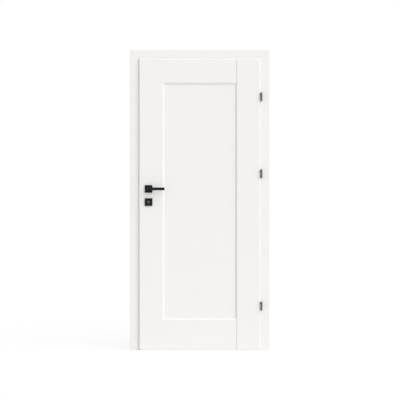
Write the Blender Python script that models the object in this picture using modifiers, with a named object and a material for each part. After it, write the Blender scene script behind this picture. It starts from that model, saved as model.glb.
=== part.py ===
"""Interior door: a rebated leaf with one recessed panel, hung on pin hinges in a wrap-round frame.

X runs along the wall, Y into it from the side the leaf opens to, Z up from the floor, in metres.
The origin is on the foot of the hinge jamb. The leaf swings on its hinge pins and the lever set
turns on its spindle.
"""

import math

import bmesh
import bpy
from mathutils import Vector

# Leaf
LEAF_WIDTH = 0.850
LEAF_HEIGHT = 2.030
LEAF_THICKNESS = 0.040
LIP_WIDTH = 0.013
LIP_THICKNESS = 0.0145
LEAF_ARRIS = 0.006
LOCK_STILE_WIDTH = 0.167
HINGE_STILE_WIDTH = 0.167
HINGE_STILE_PROUD = 0.002
HINGE_STILE_EASING = 0.001
TOP_RAIL_WIDTH = 0.1705
BOTTOM_RAIL_WIDTH = 0.2085
MOULDING_WIDTH = 0.009
MOULDING_DEPTH = 0.007
PANEL_RECESS = 0.009
PANEL_GROOVE = 0.010

# Frame
WALL_THICKNESS = 0.120
STOP_WIDTH = 0.013
JAMB_THICKNESS = 0.036
JAMB_ARRIS = 0.002
CASING_WIDTH = 0.070
CASING_THICKNESS = 0.016
CASING_ARRIS = 0.003
CASING_INNER_ARRIS = 0.001
CASING_RELIEF_DEPTH = 0.002
CASING_RELIEF_MARGIN = 0.004
BACK_CASING_REVEAL = 0.005
TONGUE_THICKNESS = 0.006
TONGUE_LENGTH = 0.030
TONGUE_SETBACK = 0.018
TONGUE_GROOVE_DEPTH = 0.036
SEAL_WIDTH = 0.008
SEAL_PROUD = 0.002
SEAL_SETBACK = 0.0075
SEAL_FOOT_THICKNESS = 0.0024
SEAL_FOOT_LENGTH = 0.0045

# Clearances
RUNNING_GAP = 0.005
FLOOR_GAP = 0.005
JOINT_GAP = 0.0003

# Hinges
LOWER_HINGE_HEIGHT = 0.304
MIDDLE_HINGE_DROP = 0.804
UPPER_HINGE_DROP = 0.268
KNUCKLE_RADIUS = 0.0065
HINGE_LENGTH = 0.063
HINGE_AXIS_OUT = 0.004
HINGE_AXIS_FRONT = 0.007
HINGE_PIN_RADIUS = 0.0035
HINGE_PIN_LENGTH = 0.024
HINGE_CAP_CHAMFER = 0.001
KNUCKLE_GAP = 0.0006
SHANK_RADIUS = 0.0035
FRAME_SHANK_OFFSET = 0.003
FRAME_SHANK_DEPTH = 0.036
LEAF_SHANK_DEPTH = 0.040
LEAF_SHANK_ANGLE = math.radians(40)

# Lock
BACKSET = 0.055
SPINDLE_HEIGHT = 1.120
CYLINDER_SPACING = 0.090
LOCK_SETBACK = 0.0105
FOREND_LENGTH = 0.235
FOREND_WIDTH = 0.018
FOREND_THICKNESS = 0.003
LATCH_SIZE = (0.030, 0.009, 0.018)
LATCH_SLOPE = 0.006
LATCH_FLAT = 0.002
DEAD_BOLT_SIZE = (0.030, 0.009, 0.032)
STRIKE_LENGTH = 0.170
STRIKE_WIDTH = 0.020
STRIKE_SETBACK = 0.0015
STRIKE_THICKNESS = 0.002
STRIKE_HOLE_MARGIN = 0.0015
STRIKE_CORNER = 0.002
LATCH_POCKET_DEPTH = 0.014
DEAD_BOLT_POCKET_DEPTH = 0.024

# Lever set
ROSETTE_SIZE = 0.053
ROSETTE_THICKNESS = 0.008
ROSETTE_CORNER = 0.003
ROSETTE_EASING = 0.0008
SPINDLE_SIZE = 0.008
SPINDLE_BORE_RADIUS = 0.009
SOCKET_DEPTH = 0.022
NECK_RADIUS = 0.009
NECK_GAP = 0.0006
LEVER_REACH = 0.112
LEVER_PROJECTION = 0.058
LEVER_HEIGHT = 0.020
LEVER_THICKNESS = 0.011
LEVER_ROOT = 0.011
LEVER_SHOULDER_GAP = 0.0016
LEVER_OUTER_BEND = 0.015
LEVER_INNER_BEND = 0.007
LEVER_EASING = 0.0015
CYLINDER_RADIUS = 0.0085
CYLINDER_STEM_WIDTH = 0.010
CYLINDER_STEM_DROP = 0.0245
CYLINDER_PROUD = 0.002
CYLINDER_DROP = 0.0015
PLUG_RADIUS = 0.0065
PLUG_LENGTH = 0.012
KEYWAY_SIZE = (0.0016, 0.007, 0.0085)

ROUND_SIDES = 24
ARC_STEPS = 4
EASING_STEPS = 2
SHARP_ANGLE = math.radians(40)
WELD_DISTANCE = 0.00001
CUT_MARGIN = 0.02

leaf_half = LEAF_WIDTH / 2
body_half = leaf_half - LIP_WIDTH
rebate_half = body_half + RUNNING_GAP
passage_half = rebate_half - STOP_WIDTH

lip_back = -CASING_THICKNESS - RUNNING_GAP
leaf_front = lip_back - LIP_THICKNESS
leaf_back = leaf_front + LEAF_THICKNESS
stop_face = leaf_back + RUNNING_GAP + SEAL_PROUD
hinge_stile_front = leaf_front - HINGE_STILE_PROUD

jamb_front = -CASING_RELIEF_DEPTH + JOINT_GAP
jamb_back = WALL_THICKNESS - JOINT_GAP
casing_outer = STOP_WIDTH + CASING_WIDTH
casing_relief = JAMB_THICKNESS + CASING_RELIEF_MARGIN

leaf_bottom = FLOOR_GAP
leaf_top = leaf_bottom + LEAF_HEIGHT
body_top = leaf_top - LIP_WIDTH
passage_top = body_top + RUNNING_GAP - STOP_WIDTH

hinge_axis = Vector((leaf_half + HINGE_AXIS_OUT, hinge_stile_front - HINGE_AXIS_FRONT, 0))
hinge_heights = {
    "lower": leaf_bottom + LOWER_HINGE_HEIGHT,
    "middle": leaf_top - MIDDLE_HINGE_DROP,
    "upper": leaf_top - UPPER_HINGE_DROP,
}
spindle_x = -body_half + BACKSET
spindle_z = leaf_bottom + SPINDLE_HEIGHT
cylinder_z = spindle_z - CYLINDER_SPACING
lock_y = leaf_back - LOCK_SETBACK
strike_y = lock_y + STRIKE_SETBACK
foot = Vector((passage_half + JAMB_THICKNESS / 2, WALL_THICKNESS / 2, 0))


def new_material(name, colour, roughness, metallic=0.0):
    """Returns a plain finish."""
    finish = bpy.data.materials.new(name)
    finish.use_nodes = True
    shader = finish.node_tree.nodes["Principled BSDF"]
    shader.inputs["Base Color"].default_value = (*colour, 1)
    shader.inputs["Roughness"].default_value = roughness
    shader.inputs["Metallic"].default_value = metallic
    return finish


def new_empty(name, at, parent=None):
    """Returns an empty at a point given in the doorway's own coordinates."""
    empty = bpy.data.objects.new(name, None)
    parts.objects.link(empty)
    empty["at"] = at
    empty.location = at - Vector(parent["at"]) if parent else -foot
    empty.parent = parent
    return empty


def keep(piece, name, parent, finish):
    """Makes a shape into a named piece of the door, carried by an empty."""
    piece.name = name
    piece.data.name = name
    own_finish = finish.copy()
    own_finish.name = f"{name} {finish.name}"
    piece.data.materials.clear()
    piece.data.materials.append(own_finish)
    carry(piece, parent)
    return piece


def carry(piece, parent):
    """Hangs a shape on an empty without moving it in the doorway."""
    piece.location = piece.location - Vector(parent["at"])
    piece.parent = parent


def as_tool(piece):
    """Puts a shape among the cutters, which aren't part of the door."""
    parts.objects.unlink(piece)
    cutters.objects.link(piece)
    piece.hide_render = True
    piece.display_type = "WIRE"
    carry(piece, doorway)
    return piece


def combine(piece, tool, operation="DIFFERENCE"):
    """Cuts, joins or trims a piece with a tool."""
    step = piece.modifiers.new(tool.name, "BOOLEAN")
    step.object = tool
    step.operation = operation
    step.solver = "EXACT"


def ease_edges(piece, width):
    """Rounds every sharp edge of a piece."""
    step = piece.modifiers.new("eased edges", "BEVEL")
    step.width = width
    step.segments = EASING_STEPS
    step.limit_method = "ANGLE"
    step.angle_limit = SHARP_ANGLE


def add_mesh(name, mesh, at=(0, 0, 0), turn=(0, 0, 0)):
    """Links a mesh as an object."""
    piece = bpy.data.objects.new(name, mesh)
    piece.location = at
    piece.rotation_euler = turn
    parts.objects.link(piece)
    return piece


def block(name, low, high):
    """A block between two corners."""
    low = Vector(low)
    high = Vector(high)
    shape = bmesh.new()
    bmesh.ops.create_cube(shape, size=1)
    bmesh.ops.scale(shape, vec=high - low, verts=shape.verts)
    mesh = bpy.data.meshes.new(name)
    shape.to_mesh(mesh)
    shape.free()
    return add_mesh(name, mesh, (low + high) / 2)


def rod(name, radius, start, end):
    """A round bar from one point to another."""
    start = Vector(start)
    end = Vector(end)
    along = end - start
    shape = bmesh.new()
    bmesh.ops.create_cone(shape, cap_ends=True, segments=ROUND_SIDES, radius1=radius, radius2=radius,
                          depth=along.length)
    mesh = bpy.data.meshes.new(name)
    shape.to_mesh(mesh)
    shape.free()
    mesh.shade_smooth()
    mesh.set_sharp_from_angle(angle=SHARP_ANGLE)
    return add_mesh(name, mesh, (start + end) / 2, along.to_track_quat("Z", "Y").to_euler())


def rounded(corners):
    """Returns an outline from corners (x, y, radius), with an arc where the radius isn't zero."""
    outline = []
    for i, (x, y, radius) in enumerate(corners):
        corner = Vector((x, y))
        if not radius:
            outline.append(corner)
            continue
        before = (Vector(corners[i - 1][:2]) - corner).normalized()
        after = (Vector(corners[(i + 1) % len(corners)][:2]) - corner).normalized()
        half = before.angle(after) / 2
        centre = corner + (before + after).normalized() * radius / math.sin(half)
        first = corner + before * radius / math.tan(half) - centre
        last = corner + after * radius / math.tan(half) - centre
        sweep = math.pi - 2 * half
        for step in range(ARC_STEPS + 1):
            share = step / ARC_STEPS
            spoke = first * math.sin((1 - share) * sweep) + last * math.sin(share * sweep)
            outline.append(centre + spoke / math.sin(sweep))
    return outline


def rectangle(width, height, radius=0.0, middle=(0, 0)):
    """Returns the outline of a rectangle with equal corners."""
    x = width / 2
    y = height / 2
    corners = [(-x, -y, radius), (x, -y, radius), (x, y, radius), (-x, y, radius)]
    return [point + Vector(middle) for point in rounded(corners)]


def circle(radius, middle=(0, 0)):
    """Returns the outline of a round hole."""
    spokes = [2 * math.pi * side / ROUND_SIDES for side in range(ROUND_SIDES)]
    return [Vector((radius * math.cos(a), radius * math.sin(a))) + Vector(middle) for a in spokes]


def prism(name, outlines, depth, at=(0, 0, 0), turn=(0, 0, 0)):
    """Extrudes a flat outline, and any holes in it, to a depth centred on its own plane."""
    curve = bpy.data.curves.new(name, "CURVE")
    curve.dimensions = "2D"
    curve.fill_mode = "BOTH"
    curve.extrude = depth / 2
    for outline in outlines:
        spline = curve.splines.new("POLY")
        spline.points.add(len(outline) - 1)
        spline.use_cyclic_u = True
        for point, (x, y) in zip(spline.points, outline):
            point.co = (x, y, 0, 1)
    guide = bpy.data.objects.new(name, curve)
    bpy.context.scene.collection.objects.link(guide)
    evaluated = guide.evaluated_get(bpy.context.evaluated_depsgraph_get())
    mesh = bpy.data.meshes.new_from_object(evaluated)
    bpy.data.objects.remove(guide)
    shape = bmesh.new()
    shape.from_mesh(mesh)
    bmesh.ops.remove_doubles(shape, verts=shape.verts, dist=WELD_DISTANCE)
    bmesh.ops.recalc_face_normals(shape, faces=shape.faces)
    shape.to_mesh(mesh)
    shape.free()
    return add_mesh(name, mesh, at, turn)


def turned(name, profile, at):
    """Turns a profile of (radius, height) points, listed from the top down, about an upright axis."""
    mesh = bpy.data.meshes.new(name)
    points = [(radius, 0, height) for radius, height in profile]
    mesh.from_pydata(points, [(i, i + 1) for i in range(len(points) - 1)], [])
    piece = add_mesh(name, mesh, at)
    step = piece.modifiers.new("turning", "SCREW")
    step.steps = ROUND_SIDES
    step.render_steps = ROUND_SIDES
    step.use_merge_vertices = True
    step.merge_threshold = WELD_DISTANCE
    step.use_smooth_shade = True
    return piece


def mitred(name, outline, side, finish):
    """Runs a frame section up one side or across the head, mitred where the sides meet the head.

    The outline's first number is the distance out from the edge of the clear passage.
    """
    if side == "head":
        piece = prism(name, [outline], 2 * passage_half, (0, 0, passage_top), (0, -math.pi / 2, 0))
    else:
        out = -1 if side == "lock_side" else 1
        flipped = [(out * x, y) for x, y in outline]
        piece = prism(name, [flipped], passage_top, (out * passage_half, 0, passage_top / 2))
    for vertex in piece.data.vertices:
        out_by = abs(vertex.co.x)
        if side == "head":
            vertex.co.z += math.copysign(1, vertex.co.z) * (out_by - JOINT_GAP)
        elif vertex.co.z > 0:
            vertex.co.z += out_by
    return keep(piece, name, doorway, finish)


def jamb_outline():
    """Section of a jamb: rebate for the leaf, groove for the seal, groove for the back casing's tongue."""
    seal_near = SEAL_SETBACK - SEAL_FOOT_THICKNESS / 2 - JOINT_GAP
    seal_far = SEAL_SETBACK + SEAL_FOOT_THICKNESS / 2 + JOINT_GAP
    seal_deep = stop_face + SEAL_FOOT_LENGTH + JOINT_GAP
    tongue_near = TONGUE_SETBACK - JOINT_GAP
    tongue_far = TONGUE_SETBACK + TONGUE_THICKNESS + JOINT_GAP
    tongue_deep = WALL_THICKNESS - TONGUE_GROOVE_DEPTH
    return rounded([
        (STOP_WIDTH, jamb_front, 0),
        (STOP_WIDTH, stop_face, 0),
        (seal_far, stop_face, 0),
        (seal_far, seal_deep, 0),
        (seal_near, seal_deep, 0),
        (seal_near, stop_face, 0),
        (0, stop_face, JAMB_ARRIS),
        (0, jamb_back, 0),
        (tongue_near, jamb_back, 0),
        (tongue_near, tongue_deep, 0),
        (tongue_far, tongue_deep, 0),
        (tongue_far, jamb_back, 0),
        (JAMB_THICKNESS, jamb_back, 0),
        (JAMB_THICKNESS, jamb_front, 0),
    ])


def front_casing_outline():
    """Section of a casing on the side the leaf opens to: eased front arrises, and a back relieved
    to take the end of the jamb, so that its outer band lies flat on the wall."""
    return rounded([
        (STOP_WIDTH, -CASING_RELIEF_DEPTH, 0),
        (STOP_WIDTH, -CASING_THICKNESS, CASING_INNER_ARRIS),
        (casing_outer, -CASING_THICKNESS, CASING_ARRIS),
        (casing_outer, 0, 0),
        (casing_relief, 0, 0),
        (casing_relief, -CASING_RELIEF_DEPTH, 0),
    ])


def back_casing_outline():
    """Section of a casing on the far side: a board with a tongue that slides in the jamb's groove."""
    face = WALL_THICKNESS + CASING_THICKNESS
    relief_face = WALL_THICKNESS + CASING_RELIEF_DEPTH
    return rounded([
        (BACK_CASING_REVEAL, WALL_THICKNESS, 0),
        (TONGUE_SETBACK, WALL_THICKNESS, 0),
        (TONGUE_SETBACK, WALL_THICKNESS - TONGUE_LENGTH, 0),
        (TONGUE_SETBACK + TONGUE_THICKNESS, WALL_THICKNESS - TONGUE_LENGTH, 0),
        (TONGUE_SETBACK + TONGUE_THICKNESS, relief_face, 0),
        (casing_relief, relief_face, 0),
        (casing_relief, WALL_THICKNESS, 0),
        (casing_outer, WALL_THICKNESS, 0),
        (casing_outer, face, CASING_ARRIS),
        (BACK_CASING_REVEAL, face, CASING_ARRIS),
    ])


def seal_outline():
    """Section of the seal: a foot pushed into its groove under a low rounded bead."""
    near = SEAL_SETBACK - SEAL_WIDTH / 2
    far = SEAL_SETBACK + SEAL_WIDTH / 2
    seat = stop_face - JOINT_GAP
    foot_near = SEAL_SETBACK - SEAL_FOOT_THICKNESS / 2
    foot_far = SEAL_SETBACK + SEAL_FOOT_THICKNESS / 2
    return rounded([
        (near, seat, 0),
        (near, stop_face - SEAL_PROUD, SEAL_PROUD / 2),
        (far, stop_face - SEAL_PROUD, SEAL_PROUD / 2),
        (far, seat, 0),
        (foot_far, seat, 0),
        (foot_far, stop_face + SEAL_FOOT_LENGTH, 0),
        (foot_near, stop_face + SEAL_FOOT_LENGTH, 0),
        (foot_near, seat, 0),
    ])


def member_outline(width, proud=0.0, growth=0.0):
    """Section across a stile or rail, from outside its outer edge to its moulded and grooved inner edge.

    Growth makes the same section a little larger, for the tool that copes the rails to the stiles.
    """
    edge = width + MOULDING_WIDTH + growth
    slope = MOULDING_WIDTH / MOULDING_DEPTH
    groove_front = leaf_front + PANEL_RECESS + growth
    groove_back = leaf_back - PANEL_RECESS - growth
    if proud:
        face = leaf_front - proud
        front_points = [
            (width + growth - HINGE_STILE_EASING - CUT_MARGIN, face - CUT_MARGIN),
            (width + growth, face + HINGE_STILE_EASING),
            (width + growth, leaf_front),
        ]
    else:
        front_points = [(width + growth - CUT_MARGIN * slope, leaf_front - CUT_MARGIN)]
    return [
        (-CUT_MARGIN, front_points[0][1]),
        *front_points,
        (edge, leaf_front + MOULDING_DEPTH),
        (edge, groove_front),
        (edge - PANEL_GROOVE, groove_front),
        (edge - PANEL_GROOVE, groove_back),
        (edge, groove_back),
        (edge, leaf_back - MOULDING_DEPTH),
        (width + growth - CUT_MARGIN * slope, leaf_back + CUT_MARGIN),
        (-CUT_MARGIN, leaf_back + CUT_MARGIN),
    ]


def leaf_blank(name, front):
    """The leaf's overall form: a lip on three sides, rounded at the front, and the body behind it."""
    shape = bmesh.new()
    bmesh.ops.create_cube(shape, size=1)
    depth = lip_back - front
    bmesh.ops.scale(shape, vec=(LEAF_WIDTH, depth, LEAF_HEIGHT), verts=shape.verts)
    arrises = []
    for edge in shape.edges:
        middle = (edge.verts[0].co + edge.verts[1].co) / 2
        if middle.y < 0 and (abs(middle.x) > depth or middle.z > depth):
            arrises.append(edge)
    bmesh.ops.bevel(shape, geom=arrises, offset=LEAF_ARRIS, segments=ARC_STEPS, profile=0.5,
                    affect="EDGES")
    mesh = bpy.data.meshes.new(name)
    shape.to_mesh(mesh)
    shape.free()
    lip = add_mesh(name, mesh, (0, (front + lip_back) / 2, leaf_bottom + LEAF_HEIGHT / 2))
    body = block(name + "_body", (-body_half, lip_back - LIP_THICKNESS / 2, leaf_bottom),
                 (body_half, leaf_back, body_top))
    combine(lip, as_tool(body), "UNION")
    return as_tool(lip)


def cylinder_outline(growth=0.0):
    """Section of the key cylinder: a round plug housing with a narrower stem below it."""
    radius = CYLINDER_RADIUS + growth
    half_stem = CYLINDER_STEM_WIDTH / 2 + growth
    start = -math.acos(half_stem / radius)
    sweep = math.pi - 2 * start
    spokes = [start + sweep * side / ROUND_SIDES for side in range(ROUND_SIDES + 1)]
    drop = -CYLINDER_STEM_DROP - growth
    round_end = half_stem - JOINT_GAP
    stem = rounded([(-half_stem, -radius, 0), (-half_stem, drop, round_end),
                    (half_stem, drop, round_end), (half_stem, -radius, 0)])
    return [Vector((radius * math.cos(a), radius * math.sin(a))) for a in spokes] + stem


for old in list(bpy.data.objects):
    bpy.data.objects.remove(old)
parts = bpy.data.collections.new("interior_door")
cutters = bpy.data.collections.new("cutters")
bpy.context.scene.collection.children.link(parts)
bpy.context.scene.collection.children.link(cutters)

white_paint = new_material("white paint", (0.89, 0.87, 0.85), 0.45)
seal_rubber = new_material("seal rubber", (0.55, 0.55, 0.54), 0.7)
black_coat = new_material("black coat", (0.009, 0.009, 0.010), 0.4)
black_steel = new_material("black steel", (0.12, 0.12, 0.12), 0.35, 0.9)
zinc_steel = new_material("zinc steel", (0.62, 0.63, 0.64), 0.35, 1.0)
nickel = new_material("nickel", (0.66, 0.65, 0.62), 0.3, 1.0)
dark_nickel = new_material("dark nickel", (0.15, 0.15, 0.145), 0.35, 1.0)

doorway = new_empty("doorway", Vector((0, 0, 0)))
leaf_pivot = new_empty("leaf_pivot", hinge_axis, doorway)
lever_pivot = new_empty("lever_pivot", Vector((spindle_x, 0, spindle_z)), leaf_pivot)

# Frame: jambs, seals, and casings on both faces of the wall, mitred at the head
frame = {}
for side in ("lock_side", "hinge_side", "head"):
    jamb_name = "head_jamb" if side == "head" else side.replace("_side", "_jamb")
    frame[side] = mitred(jamb_name, jamb_outline(), side, white_paint)
    frame[side + "_casing"] = mitred("front_casing_" + side, front_casing_outline(), side, white_paint)
    mitred("back_casing_" + side, back_casing_outline(), side, white_paint)
    mitred("seal_" + side, seal_outline(), side, seal_rubber)

# Leaf: stiles the full height, rails coped between them, panel held in grooves on all four edges
leaf_form = leaf_blank("leaf_form", leaf_front)
hinge_stile_form = leaf_blank("hinge_stile_form", hinge_stile_front)
member_length = LEAF_HEIGHT + 2 * CUT_MARGIN
leaf_middle = leaf_bottom + LEAF_HEIGHT / 2

lock_section = member_outline(LOCK_STILE_WIDTH)
hinge_section = [(-a, b) for a, b in member_outline(HINGE_STILE_WIDTH, HINGE_STILE_PROUD)]
lock_stile = prism("lock_stile", [lock_section], member_length, (-leaf_half, 0, leaf_middle))
hinge_stile = prism("hinge_stile", [hinge_section], member_length, (leaf_half, 0, leaf_middle))
combine(lock_stile, leaf_form, "INTERSECT")
combine(hinge_stile, hinge_stile_form, "INTERSECT")

lock_cope = prism("lock_cope", [member_outline(LOCK_STILE_WIDTH, 0, JOINT_GAP)],
                  member_length, (-leaf_half, 0, leaf_middle))
hinge_cope_section = [(-a, b) for a, b in member_outline(HINGE_STILE_WIDTH, HINGE_STILE_PROUD, JOINT_GAP)]
hinge_cope = prism("hinge_cope", [hinge_cope_section], member_length, (leaf_half, 0, leaf_middle))
as_tool(lock_cope)
as_tool(hinge_cope)

tenon_left = -leaf_half + LOCK_STILE_WIDTH + MOULDING_WIDTH - PANEL_GROOVE + JOINT_GAP
tenon_right = leaf_half - HINGE_STILE_WIDTH - MOULDING_WIDTH + PANEL_GROOVE - JOINT_GAP
rail_length = tenon_right - tenon_left - 2 * JOINT_GAP
rail_middle = (tenon_left + tenon_right) / 2
top_rail = prism("top_rail", [member_outline(TOP_RAIL_WIDTH)], rail_length,
                 (rail_middle, 0, leaf_top), (0, math.pi / 2, 0))
bottom_section = [(-a, b) for a, b in member_outline(BOTTOM_RAIL_WIDTH)]
bottom_rail = prism("bottom_rail", [bottom_section], rail_length,
                    (rail_middle, 0, leaf_bottom), (0, math.pi / 2, 0))
for rail in (top_rail, bottom_rail):
    combine(rail, leaf_form, "INTERSECT")
    combine(rail, lock_cope)
    combine(rail, hinge_cope)

groove_bottom = leaf_bottom + BOTTOM_RAIL_WIDTH + MOULDING_WIDTH - PANEL_GROOVE
groove_top = leaf_top - TOP_RAIL_WIDTH - MOULDING_WIDTH + PANEL_GROOVE
panel = block("panel", (tenon_left, leaf_front + PANEL_RECESS + JOINT_GAP, groove_bottom + JOINT_GAP),
              (tenon_right, leaf_back - PANEL_RECESS - JOINT_GAP, groove_top - JOINT_GAP))
for piece, name in ((lock_stile, "lock_stile"), (hinge_stile, "hinge_stile"), (top_rail, "top_rail"),
                    (bottom_rail, "bottom_rail"), (panel, "panel")):
    keep(piece, name, leaf_pivot, white_paint)

# Hinges: the lower knuckle and pin are screwed into the frame, the upper knuckle into the leaf
knuckle_half = HINGE_LENGTH / 2
knuckle_edge = KNUCKLE_RADIUS - HINGE_CAP_CHAMFER
bore_radius = HINGE_PIN_RADIUS + JOINT_GAP
leaf_shank_way = Vector((-math.cos(LEAF_SHANK_ANGLE), math.sin(LEAF_SHANK_ANGLE), 0))
for place, height in hinge_heights.items():
    centre = hinge_axis + Vector((0, 0, height))
    seat = -KNUCKLE_GAP / 2
    pin_profile = [
        (0, HINGE_PIN_LENGTH),
        (HINGE_PIN_RADIUS - HINGE_CAP_CHAMFER, HINGE_PIN_LENGTH),
        (HINGE_PIN_RADIUS, HINGE_PIN_LENGTH - HINGE_CAP_CHAMFER),
        (HINGE_PIN_RADIUS, seat),
        (KNUCKLE_RADIUS, seat),
        (KNUCKLE_RADIUS, HINGE_CAP_CHAMFER - knuckle_half),
        (knuckle_edge, -knuckle_half),
        (0, -knuckle_half),
    ]
    frame_knuckle = turned(place + "_hinge_frame_part", pin_profile, centre)
    bore_depth = HINGE_PIN_LENGTH + KNUCKLE_GAP
    socket_profile = [
        (0, knuckle_half),
        (knuckle_edge, knuckle_half),
        (KNUCKLE_RADIUS, knuckle_half - HINGE_CAP_CHAMFER),
        (KNUCKLE_RADIUS, -seat),
        (bore_radius, -seat),
        (bore_radius, bore_depth),
        (0, bore_depth),
    ]
    leaf_knuckle = turned(place + "_hinge_leaf_part", socket_profile, centre)

    low = centre + Vector((FRAME_SHANK_OFFSET, 0, -knuckle_half / 2))
    frame_end = low + Vector((0, FRAME_SHANK_DEPTH - CASING_THICKNESS - low.y, 0))
    frame_shank = rod(place + "_frame_shank", SHANK_RADIUS, low, frame_end)
    combine(frame_knuckle, as_tool(frame_shank), "UNION")
    clear_end = frame_end + Vector((0, JOINT_GAP, 0))
    frame_hole = as_tool(rod(place + "_frame_hole", SHANK_RADIUS + JOINT_GAP, low, clear_end))
    combine(frame["hinge_side"], frame_hole)
    combine(frame["hinge_side_casing"], frame_hole)

    high = centre + Vector((0, 0, knuckle_half / 2 + KNUCKLE_GAP))
    start = high + leaf_shank_way * (bore_radius + JOINT_GAP)
    leaf_end = high + leaf_shank_way * (KNUCKLE_RADIUS + LEAF_SHANK_DEPTH)
    leaf_shank = rod(place + "_leaf_shank", SHANK_RADIUS, start, leaf_end)
    combine(leaf_knuckle, as_tool(leaf_shank), "UNION")
    leaf_hole_end = leaf_end + leaf_shank_way * JOINT_GAP
    leaf_hole = as_tool(rod(place + "_leaf_hole", SHANK_RADIUS + JOINT_GAP, high, leaf_hole_end))
    combine(hinge_stile, leaf_hole)

    keep(frame_knuckle, place + "_hinge_frame_part", doorway, black_steel)
    keep(leaf_knuckle, place + "_hinge_leaf_part", leaf_pivot, black_steel)

# Lock: forend let into the edge of the lock stile, with both bolts drawn back flush with it. The
# latch's slope faces the stop, so that it rides over the strike plate as the leaf shuts.
forend_z = (spindle_z + cylinder_z) / 2
edge_turn = (math.pi / 2, 0, math.pi / 2)
latch_length, latch_width, latch_height = LATCH_SIZE
bolt_length, bolt_width, bolt_height = DEAD_BOLT_SIZE
latch_z = spindle_z
bolt_z = cylinder_z + CYLINDER_RADIUS + bolt_height / 2


def bolt_holes(margin, plate_y):
    """Outlines of the latch hole and the dead bolt hole in a plate whose middle is at plate_y."""
    across = lock_y - plate_y
    return [
        rectangle(latch_width + 2 * margin, latch_height + 2 * margin, 0.0, (across, latch_z - forend_z)),
        rectangle(bolt_width + 2 * margin, bolt_height + 2 * margin, 0.0, (across, bolt_z - forend_z)),
    ]


forend_round = FOREND_WIDTH / 2 - JOINT_GAP
forend_shape = rectangle(FOREND_WIDTH, FOREND_LENGTH, forend_round)
forend = prism("lock_forend", [forend_shape, *bolt_holes(JOINT_GAP, lock_y)], FOREND_THICKNESS,
               (-body_half + FOREND_THICKNESS / 2, lock_y, forend_z), edge_turn)
forend_seat_depth = FOREND_THICKNESS + JOINT_GAP
forend_seat = prism("forend_seat",
                    [rectangle(FOREND_WIDTH + 2 * JOINT_GAP, FOREND_LENGTH + 2 * JOINT_GAP, forend_round)],
                    forend_seat_depth + CUT_MARGIN,
                    (-body_half + (forend_seat_depth - CUT_MARGIN) / 2, lock_y, forend_z), edge_turn)
latch_half = latch_width / 2
latch_nose = [(0, -latch_half), (latch_length, -latch_half), (latch_length, latch_half),
              (LATCH_SLOPE, latch_half), (0, LATCH_FLAT - latch_half)]
latch = prism("latch_bolt", [latch_nose], latch_height, (-body_half, lock_y, latch_z))
dead_bolt = block("dead_bolt", (-body_half, lock_y - bolt_width / 2, bolt_z - bolt_height / 2),
                  (-body_half + bolt_length, lock_y + bolt_width / 2, bolt_z + bolt_height / 2))
latch_way = block("latch_way",
                  (-body_half - CUT_MARGIN, lock_y - latch_half - JOINT_GAP,
                   latch_z - latch_height / 2 - JOINT_GAP),
                  (-body_half + latch_length + JOINT_GAP, lock_y + latch_half + JOINT_GAP,
                   latch_z + latch_height / 2 + JOINT_GAP))
bolt_way = block("bolt_way",
                 (-body_half - CUT_MARGIN, lock_y - bolt_width / 2 - JOINT_GAP,
                  bolt_z - bolt_height / 2 - JOINT_GAP),
                 (-body_half + bolt_length + JOINT_GAP, lock_y + bolt_width / 2 + JOINT_GAP,
                  bolt_z + bolt_height / 2 + JOINT_GAP))
spindle_bore = rod("spindle_bore", SPINDLE_BORE_RADIUS, (spindle_x, leaf_front - CUT_MARGIN, spindle_z),
                   (spindle_x, leaf_back + CUT_MARGIN, spindle_z))
face_turn = (math.pi / 2, 0, 0)
cylinder_way = prism("cylinder_way", [cylinder_outline(JOINT_GAP)], LEAF_THICKNESS + 2 * CUT_MARGIN,
                     (spindle_x, (leaf_front + leaf_back) / 2, cylinder_z), face_turn)
for tool in (forend_seat, latch_way, bolt_way, spindle_bore, cylinder_way):
    combine(lock_stile, as_tool(tool))
keep(forend, "lock_forend", leaf_pivot, zinc_steel)
keep(latch, "latch_bolt", leaf_pivot, nickel)
keep(dead_bolt, "dead_bolt", leaf_pivot, nickel)

# Strike plate: let into the lock jamb and the edge of its casing, with a pocket behind each hole
strike_x = -rebate_half - STRIKE_THICKNESS / 2
strike_shape = rectangle(STRIKE_WIDTH, STRIKE_LENGTH, STRIKE_CORNER)
strike_holes = bolt_holes(STRIKE_HOLE_MARGIN, strike_y)
strike = prism("strike_plate", [strike_shape, *strike_holes], STRIKE_THICKNESS,
               (strike_x, strike_y, forend_z), edge_turn)
strike_seat_depth = STRIKE_THICKNESS + JOINT_GAP
strike_seat = prism("strike_seat",
                    [rectangle(STRIKE_WIDTH + 2 * JOINT_GAP, STRIKE_LENGTH + 2 * JOINT_GAP, STRIKE_CORNER)],
                    strike_seat_depth + CUT_MARGIN,
                    (-rebate_half - (strike_seat_depth - CUT_MARGIN) / 2, strike_y, forend_z), edge_turn)
latch_pocket = prism("latch_pocket", [strike_holes[0]], LATCH_POCKET_DEPTH + CUT_MARGIN,
                     (-rebate_half - (LATCH_POCKET_DEPTH - CUT_MARGIN) / 2, strike_y, forend_z), edge_turn)
bolt_pocket = prism("bolt_pocket", [strike_holes[1]], DEAD_BOLT_POCKET_DEPTH + CUT_MARGIN,
                    (-rebate_half - (DEAD_BOLT_POCKET_DEPTH - CUT_MARGIN) / 2, strike_y, forend_z), edge_turn)
for tool in (strike_seat, latch_pocket, bolt_pocket):
    as_tool(tool)
    combine(frame["lock_side"], tool)
    combine(frame["lock_side_casing"], tool)
keep(strike, "strike_plate", doorway, zinc_steel)

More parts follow.
